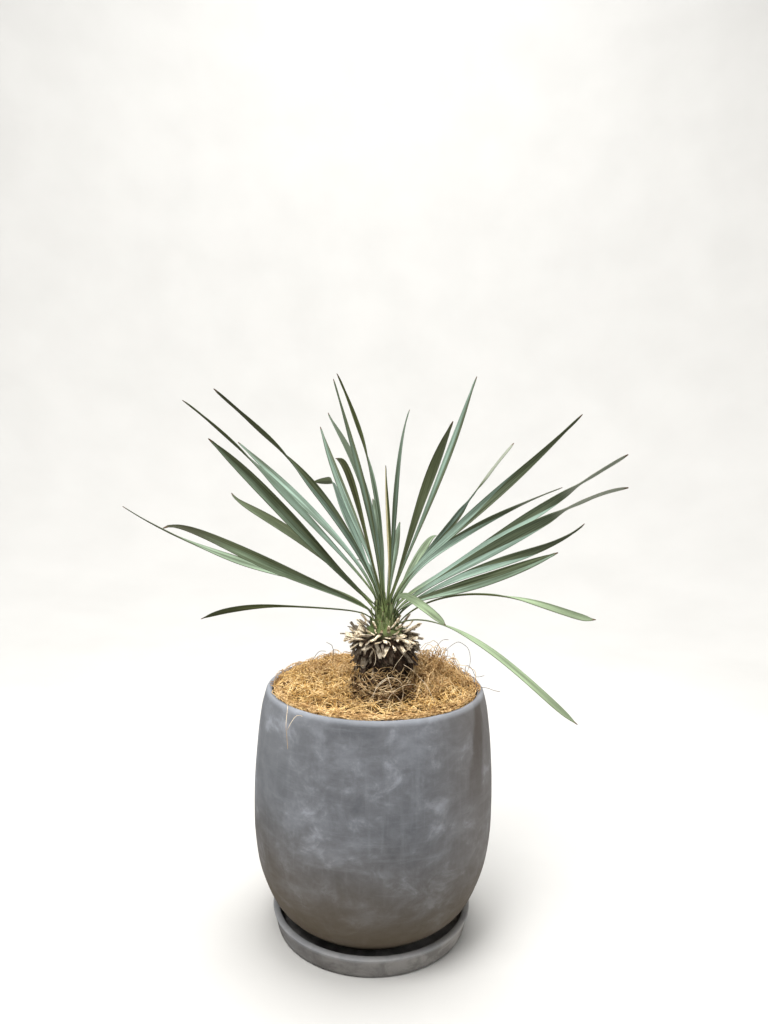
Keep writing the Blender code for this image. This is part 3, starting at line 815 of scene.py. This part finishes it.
leafSettings = {
    "crown": (8, -25, 289),
    "columns": 8,
    "stations": 58,
    "samples": 601,
    "crowding": 1.1,  # over 1, the stations lie closer together near the seat
    "thickness": 1.0,
    "edge": 0.4,  # the share of the thickness that is left at the edges
    "gutter": 0.28,
    "handle": 0.62,  # how far the curve's handles reach, as a share of the way to the tip
    "foldPlace": 0.78,
    # shares of the width: at the seat, at the least without and with a waist, and what a waist takes
    "footWidth": 0.29,
    "leastWidth": (0.28, 0.40),
    "pinch": (0.6, 0.045),
    "seatRadius": (12.15, 3.4),
    "seatHeight": (-3, 19),
    "seatRise": (66, 86),
    # azimuth, reach, lift, neck, rise, tip rise, bend, width, where it is widest, fullness, roll near,
    # middle and far, seat turn, fold, tone (partly painted light and shade), tail (pale above 0,
    # painted shade on the outer end below), shade, lean of the shade, greenness (from 2 on, half of
    # the blade is straw), place of the waist
    "leaves": (
        (-42, 188, -45, 8, 29, -23, 0.62, 5.6, 0.62, 8, -32, 30, 36, -8, 0, 0.85, -0.5, 0, 0, 1, 0),
        (-28, 183, 24, 20, 35, 16, 0.8, 5.9, 0.76, 9, -34, -24, 52, 6, 0, 0.85, -0.3, -0.5, -2.5, 1, 0),
        (-143, 174, 24, 25, -20, -15, 0.39, 4.6, 0.82, 3, 36, 22, 76, 0, 0, 0.25, -0.5, 0, 0, 0.8, 0),
        (-69, 120, 24, 30, 84, -8, 0.23, 6.6, 0.6, 6, 80, 74, 30, 0, 0, 0.7, -0.3, 0, 0, 1, 0),
        (100, 168, 30, 14, 30, -8, 0.5, 9, 0.56, 2.1, 0, 8, 10, 0, 0, 0.2, 0, 0, 0, 0.2, 0),
        (25, 219, 81, 19, 25, 36, 0.57, 9.2, 0.55, 1.8, 35, 66, 108, 0, 0, 0.6, -0.5, -0.35, 1.3, 0, 0),
        (179, 232, 98, 22, 29, 33, 0.2, 8.6, 0.55, 2, -10, -38, 18, -6, 0, 0.4, -0.8, 0.25, -1, 0.6, 0),
        (84, 150, 74, 20, 30, 16, 0.5, 8.5, 0.56, 2.1, 0, -6, -14, 0, 0, 0.2, 0, 0, 0, 0.2, 0),
        (-46, 174, 81, 19, 18, 28, 0.3, 10.6, 0.6, 3.2, 55, 72, 60, 0, 0, 0.6, 0, -0.52, 0, 0.3, 0),
        (-152, 193, 90, 25, 9, -32, 0.81, 10.6, 0.62, 3, -92, -70, -42, 0, 0, 0.35, -1, 0.35, 0, 0.7, 0),
        (65, 128, 63, 14, 4, -18, 0.53, 9, 0.5, 2.2, 5, 10, 12, 0, 0, 0.5, 0, 0, 0, 0.8, 0),
        (31, 208, 116, 26, 84, 14, 0.14, 6.8, 0.45, 1.5, 30, 78, 130, 0, 0, 0.75, 0.4, -0.38, 1.4, 0, 0),
        (146, 188, 105, 6, 43, 55, 0.81, 9.8, 0.62, 2.6, -32, -36, -34, 0, 0, -0.15, 0, 0.35, 0, 0.8, 0),
        (-10, 202, 124, 22, 23, 4, 0.67, 11.2, 0.52, 1.6, 50, 88, 140, -10, 0, 0.75, 1, -0.6, 1, 0, 0.77),
        (96, 128, 100, 18, 44, 24, 0.5, 8.5, 0.56, 2.1, 0, 6, -6, 0, 0, 0.2, 0, 0, 0, 0.2, 0),
        (9, 223, 151, 24, 8, 29, 0.33, 9.8, 0.55, 1.6, 45, 66, 118, 6, 0, 0.8, 0.8, -0.25, 1.7, 0, 0.8),
        (121, 134, 151, 17, 49, 52, 0.61, 8.6, 0.66, 4, 0, -14, 55, 0, 52, 0.8, 0, 0, 0, 0, 0),
        (145, 182, 156, 20, 84, 33, 0.15, 8.6, 0.62, 2, -24, -32, -32, 8, 0, 0.5, 0, 0, 0, 0, 0),
        (-103, 164, 146, 20, 19, -2, 0.56, 5, 0.85, 5, -20, -30, 8, 6, 0, 0.55, -0.3, 0, 0, 0.8, 0),
        (42, 174, 160, 28, 2, 37, 0.28, 7.6, 0.45, 1.5, 15, 80, 195, 0, 0, 0.5, 0.8, 0.35, -1, 0, 0.62),
        (-142, 169, 158, 6, 4, 40, 0.15, 10.4, 0.6, 3.2, -95, -84, -78, 0, 0, 0.2, -0.3, 0.4, 0, 0.5, 0),
        (120, 136, 173, 20, 63, 56, 0.24, 8.3, 0.62, 2.2, 0, -10, -4, 0, 0, 0.6, 0, 0.3, 0, 0, 0),
        (169, 191, 193, 23, 35, 34, 0.44, 8.8, 0.5, 1.6, -28, -32, 52, -4, 0, 0.25, -0.4, 0, 0, 0, 0),
        (-9, 163, 184, 23, 50, 46, 0.15, 8.6, 0.52, 1.7, 55, 75, 112, 0, 0, 0.6, -0.5, 0.35, 1.4, 0, 0),
        (119, 123, 187, 19, 84, 54, 0.82, 7.4, 0.6, 2.2, 0, 0, -6, -14, 0, 0.15, -0.2, 0, 0, 0, 0),
        (-155, 152, 197, 20, 64, 42, 0.75, 9, 0.48, 1.4, -88, -72, 52, 0, 0, 0.3, -0.8, 0.5, 0.8, 0, 0),
        (-71, 133, 173, 7, 19, 43, 0.22, 8.6, 0.68, 2.2, 24, 14, -8, 0, 0, 0.85, -0.5, 0, 0, 0.1, 0),
        (34, 99, 221, 22, 56, 63, 0.78, 7, 0.6, 1.8, 6, 16, 34, -14, 0, 0.5, 0, 0.35, 0, 0, 0),
        (129, 83, 217, 19, 84, 63, 0.34, 6.4, 0.5, 1.4, -6, -12, -8, 12, 0, 0.1, 0, 0.4, 0, 0, 0),
        (70, 58, 189, 12, 35, 42, 0.31, 4.6, 0.5, 1.5, 0, 0, 0, 4, 0, 0.3, -0.2, 0, 0, 0, 0),
        (-162, 47, 215, 6, 84, 63, 0.04, 6.6, 0.5, 1.8, -80, -50, 50, 0, 0, 0.5, 0, 0, 0, 0.5, 0),
        (180, 2, 138, 20, 89, 89, 0.5, 4.6, 0.5, 2, 50, 50, 50, 140, 0, 0.5, 0, 0, 0, 2.5, 0),
    ),
}


def heading(azimuth, rise):
    return np.array((cos(azimuth) * cos(rise), sin(azimuth) * cos(rise), sin(rise)))


def swung(points, pivot, azimuth, angle):
    # the points turned down about the pivot, in the upright plane of the leaf
    ahead = (points - pivot) @ heading(azimuth, 0.0)
    high = points[:, 2] - pivot[2]
    forward = ahead * cos(angle) + high * sin(angle) - ahead
    moved = points + forward[:, None] * heading(azimuth, 0.0)
    moved[:, 2] = pivot[2] + high * cos(angle) - ahead * sin(angle)
    return moved


def leafLine(leaf, rank):
    # points along the leaf's middle, and their share of its length
    settings = leafSettings
    azimuth, reach, lift, neck, rise, tipRise, bend = leaf[:7]
    share = rank / (len(settings["leaves"]) - 1)
    radius, height, steep = (low + (high - low) * share for low, high in
                             (settings["seatRadius"], settings["seatHeight"], settings["seatRise"]))
    crown = np.array(settings["crown"], float)
    out, seatOut = radians(azimuth), radians(azimuth + leaf[13])
    seat = crown + radius * heading(seatOut, 0.0) + np.array((0, 0, height))
    neckEnd = seat + neck * heading(seatOut, radians(steep))
    tip = crown + reach * heading(out, 0.0) + np.array((0, 0, lift))
    handle = settings["handle"] * np.linalg.norm(tip - neckEnd)
    rest = [seat, neckEnd, neckEnd + handle * bend * heading(out, radians(rise)),
            tip - handle * (1 - bend) * heading(out, radians(tipRise)), tip]
    t = np.linspace(0, 1, settings["samples"])[:, None]
    while len(rest) > 1:
        rest = [a * (1 - t) + b * t for a, b in zip(rest, rest[1:])]
    fine = rest[0]
    along = np.concatenate(([0.0], np.cumsum(np.linalg.norm(np.diff(fine, axis=0), axis=1))))
    along /= along[-1]
    folded = along > settings["foldPlace"]
    fine[folded] = swung(fine[folded], fine[~folded][-1], out, radians(leaf[14]))
    stations = np.linspace(0, 1, settings["stations"] + 1) ** settings["crowding"]
    return stations, np.stack([np.interp(stations, along, fine[:, k]) for k in range(3)], axis=-1)


def halfWidth(t, width, widest, fullness, waist):
    # a leaf with a waist has twisted there, and its outer end lies flat
    foot, (depth, reach) = leafSettings["footWidth"], leafSettings["pinch"]
    grow = foot + (1 - foot) * smooth((t - 0.08) / (widest - 0.08))
    fall = 1 - np.clip((t - widest) / (1 - widest), 0, 1) ** fullness
    end = 1 - 0.76 * np.clip((t - 0.92) / 0.08, 0, 1) ** 4
    least = leafSettings["leastWidth"][waist > 0]
    pinch = 1 - depth * np.exp(-((t - waist) / reach) ** 2) if waist else 1
    return 0.5 * width * np.maximum(grow * fall, least) * end * pinch


def leafRoll(t, near, middle, far):
    # the roll grows to each of its three values in turn
    first = near * smooth(t / 0.15)
    second = near + (middle - near) * smooth((t - 0.15) / 0.35)
    third = middle + (far - middle) * smooth((t - 0.5) / 0.35)
    return np.radians(np.where(t < 0.15, first, np.where(t < 0.5, second, third)))


leafTints = {
    "upper": ((0.044, 0.060, 0.036), (0.108, 0.152, 0.118), (0.23, 0.32, 0.265)),
    # the underside's darker colours are painted shade; its own colour is much like the upper side's
    "under": ((0.022, 0.028, 0.009), (0.048, 0.060, 0.024), (0.110, 0.135, 0.072)),
    "crown": ((0.034, 0.052, 0.014), (0.170, 0.225, 0.082), (0.42, 0.48, 0.25)),
    "greener": (1.06, 0.98, 0.70),
    "straw": ((0.30, 0.26, 0.135), (0.62, 0.56, 0.36)),
    "shaded": ((0.024, 0.030, 0.010), (0.072, 0.086, 0.044)),
    "base": ((0.030, 0.045, 0.012), (0.17, 0.215, 0.085)),
    "paleTail": ((0.13, 0.145, 0.11), (0.27, 0.29, 0.24)),
    # painted shade for the outer end of a leaf
    "paintedShadeTail": (0.030, 0.032, 0.016),
    "paintedShadeMargin": (0.060, 0.070, 0.035),
    "spine": (0.075, 0.045, 0.022),
}


def leafFinish(name, tints):
    finish = Finish(name)
    across, along, up = finish.split(addNode(finish.tree, "ShaderNodeUVMap", {"uv_map": "UVMap"}))
    words = ("tone", "seed", "tail", "shade", "lean", "green")
    tone, seed, tail, shade, lean, green = (finish.named(word) for word in words)

    def lines(wide, long, detail):
        # streaks that run along the blade
        sockets = {0: across * wide, 1: along * long + seed, 2: seed}
        return finish.clouds(addNode(finish.tree, "ShaderNodeCombineXYZ", None, sockets), 1, detail, 0.5)

    band, streak, thread = lines(2.6, 2, 1), lines(7, 3, 2), lines(19, 6, 1)
    patch = finish.clouds(finish.place(), 17, 3, 0.5)
    # each leaf's tone carries the light and shade it stands in, so it is partly painted light and shade
    light = band * 0.34 + streak * 0.24 + thread * 0.18 + patch * 0.24 + (tone - 0.5) * 0.26
    colour = finish.ramp(light, (0.38, 0.50, 0.63), tints)
    greener = finish.blend(1.0, colour, leafTints["greener"], "MULTIPLY")
    # one side of a folded blade lies in its own shade, whose edge can run across the blade
    reach = shade.maths("ABSOLUTE") + lean * (along - 0.5) * 2
    folded = 0.5 + shade.maths("SIGN") * (across - 0.5) + reach
    side = (across - 0.5).maths("ABSOLUTE")
    # first to last: where and how strong each layer lies, and its colour
    layers = (
        (green * 0.9, greener),
        (finish.fade(green, 1.5, 2.0) * finish.fade(across, 0.40, 0.52),
         finish.ramp(thread, (0.40, 0.60), leafTints["straw"])),
        (finish.fade(folded, 0.97, 1.03) * finish.fade(along, 0.06, 0.2) * 0.9,
         finish.ramp(streak, (0.38, 0.62), leafTints["shaded"])),
        # near the seat the blade turns darker and yellower: partly its own colour, partly painted shade
        # inside the rosette
        (finish.fade(along, 0.26, 0.08) * 0.82,
         finish.ramp(band * 0.7 + streak * 0.3, (0.42, 0.58), leafTints["base"])),
        (finish.fade(along, 0.72, 0.80) * tail.maths("MAXIMUM", 0.0),
         finish.ramp(thread, (0.40, 0.60), leafTints["paleTail"])),
        # painted shade on the outer end of a leaf with a negative tail, where the blade arches down
        (finish.fade(along, 0.70, 0.93) * (-1 * tail).maths("MAXIMUM", 0.0), leafTints["paintedShadeTail"]),
        # painted shade: a dark line along both edges of the blade
        (finish.fade(side, 0.45, 0.49) * 0.5, leafTints["paintedShadeMargin"]),
        (finish.fade(along, 0.978, 0.996), leafTints["spine"]),
    )
    for share, layer in layers:
        colour = finish.blend(share, colour, layer)
    relief = streak * 0.6 + thread * 0.4
    return finish.close(colour, finish.fade(streak, 0.3, 0.7, 0.58, 0.70), relief, 0.0004, 0.6,
                        specular=0.15)


def makeLeaf(leaf, rank, materials):
    settings = leafSettings
    columns, rows = settings["columns"], settings["stations"]
    letGo()
    bpy.ops.mesh.primitive_grid_add(x_subdivisions=columns, y_subdivisions=rows, size=1, calc_uvs=True)
    blade = bpy.context.object
    blade.name = "blade_%02d" % (rank + 1)
    flat = pointsOf(blade) * mm
    side = -2 * flat[:, 0]
    station = np.rint((flat[:, 1] + 0.5) * rows).astype(int)
    t, middle = leafLine(leaf, rank)
    ahead = np.gradient(middle, axis=0)
    ahead /= np.linalg.norm(ahead, axis=1)[:, None]
    level = heading(radians(leaf[0] + 90), 0.0)
    left = level - ahead * (ahead @ level)[:, None]
    left /= np.linalg.norm(left, axis=1)[:, None]
    upper = np.cross(ahead, left)
    roll = leafRoll(t, *leaf[10:13])[:, None]
    left, upper = left * np.cos(roll) + upper * np.sin(roll), upper * np.cos(roll) - left * np.sin(roll)
    half = halfWidth(t, *leaf[7:10], leaf[20])
    wide = (half[station] * side)[:, None]
    trough = (half[station] * settings["gutter"] * side ** 2)[:, None]
    movePoints(blade, middle[station] + left[station] * wide + upper[station] * trough)
    mark(blade, "seed", rank * 3.7)
    for word, value in zip(("tone", "tail", "shade", "lean", "green"), leaf[15:20]):
        mark(blade, word, value)
    thick = blade.vertex_groups.new(name="thick")
    for index, (s, k) in enumerate(zip(side, t[station])):
        thick.add([index], (1 - 0.75 * s * s) * (1 - 0.5 * float(smooth((k - 0.6) / 0.4))), "REPLACE")
    for material in materials:
        blade.data.materials.append(material)
    bake(blade, "SOLIDIFY", thickness=settings["thickness"] * mm, offset=0, vertex_group="thick",
         thickness_vertex_group=settings["edge"], material_offset=1)
    soften(blade, 60)
    hand(blade, "leaf_blade", "leaf_%02d" % (rank + 1))
    return len(blade.data.polygons)


def makeLeaves():
    upper = leafFinish("leafUpper", leafTints["upper"])
    # the underside gets the darker colours: painted shade
    under = leafFinish("leafUnderPaintedShade", leafTints["under"])
    makeSheaths(leafFinish("crownGreen", leafTints["crown"]))
    faces = sum(makeLeaf(leaf, rank, (upper, under)) for rank, leaf in enumerate(leafSettings["leaves"]))
    print("leaves bent,", faces, "faces")


stageSettings = {
    "floor": ((0, 0), (950, 0), (1300, 26), (1620, 120), (1880, 300), (2070, 560), (2190, 900),
              (2250, 1350), (2278, 2000), (2285, 2900)),
    "sides": 96,
    "paint": ((0.47, 0.467, 0.458), (0.495, 0.492, 0.483)),
    # name, then place, aim and size in metres, watts, colour
    "lights": (
        ("softbox", (-0.55, -0.75, 1.75), (0, 0, 0.27), 0.9, 35, (1.0, 0.985, 0.96)),
        ("overhead", (0.10, 0.10, 2.05), (0, 0, 0.27), 1.3, 51, (1.0, 0.99, 0.97)),
        ("fill", (1.35, -0.95, 0.95), (0, 0, 0.27), 1.0, 3, (0.96, 0.98, 1.0)),
        ("backdrop", (0.0, 0.90, 2.45), (0, 2.3, 1.75), 1.2, 36, (1.0, 0.995, 0.98)),
    ),
    "world": {"Color": (1.0, 0.995, 0.985, 1), "Strength": 0.6},
}


def makeStage():
    settings = stageSettings
    floor = turned("studioFloor", rounded(settings["floor"], 4), settings["sides"])
    pick(floor)
    bpy.ops.object.mode_set(mode="EDIT")
    bpy.ops.mesh.select_all(action="SELECT")
    bpy.ops.mesh.flip_normals()
    bpy.ops.object.mode_set(mode="OBJECT")
    finish = Finish("studioPaint")
    shade = finish.ramp(finish.clouds(finish.place(), 6, 3, 0.5), (0.3, 0.7), settings["paint"])
    floor.data.materials.append(finish.close(shade, 0.9))
    soften(floor)
    for name, place, aim, size, watts, colour in settings["lights"]:
        bpy.ops.object.light_add(type="AREA", location=place)
        light = bpy.context.object
        light.name = name
        light.data.shape = "DISK"
        light.data.size = size
        light.data.energy = watts
        light.data.color = colour
        light.rotation_euler = (Vector(aim) - Vector(place)).to_track_quat("-Z", "Y").to_euler()
    world = bpy.data.worlds.new("studio")
    world.use_nodes = True
    feed(world.node_tree, world.node_tree.nodes["Background"], settings["world"])
    bpy.context.scene.world = world
    view = bpy.context.scene.view_settings
    view.view_transform = "Standard"
    view.look = "None"
    view.exposure = 0.0
    print("stage lit")


cameraSettings = {
    "place": (-0.0013, -0.695, 0.444),  # in metres
    "lens": 27.04,
    "pitch": 4.92,
    "yaw": 0.55,
    "roll": 1.02,
    "sensor": 36,
    "clip": 0.02,
}


def makeCamera():
    settings = cameraSettings
    pitch, yaw, roll = (radians(settings[key]) for key in ("pitch", "yaw", "roll"))
    forward = Vector((sin(yaw) * cos(pitch), cos(yaw) * cos(pitch), -sin(pitch)))
    right = Vector((cos(yaw), -sin(yaw), 0))
    upward = right.cross(forward)
    tilted = right * cos(roll) + upward * sin(roll)
    facing = Matrix((tilted, upward * cos(roll) - right * sin(roll), -forward)).transposed()
    bpy.ops.object.camera_add(location=settings["place"], rotation=facing.to_euler())
    camera = bpy.context.object
    camera.data.lens = settings["lens"]
    camera.data.sensor_width = settings["sensor"]
    camera.data.sensor_fit = "AUTO"
    camera.data.clip_start = settings["clip"]
    bpy.context.scene.camera = camera
    print("camera set")


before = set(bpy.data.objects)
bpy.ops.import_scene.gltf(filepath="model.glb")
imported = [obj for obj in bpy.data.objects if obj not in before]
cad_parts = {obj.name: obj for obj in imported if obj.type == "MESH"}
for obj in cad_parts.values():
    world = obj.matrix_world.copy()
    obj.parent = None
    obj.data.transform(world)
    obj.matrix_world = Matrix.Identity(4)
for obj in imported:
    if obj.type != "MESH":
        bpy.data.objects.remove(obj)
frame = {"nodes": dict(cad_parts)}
letGo()
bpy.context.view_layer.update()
makeCamera()
makeStage()
makePot()
makeSaucer()
dressSoil(frame)
makeCoirBed()
makeCoirHeaps()
makeCollars()
makeClumps()
makeSpill()
makeHairs()
makeTrunk()
makeStubs()
makeLeaves()
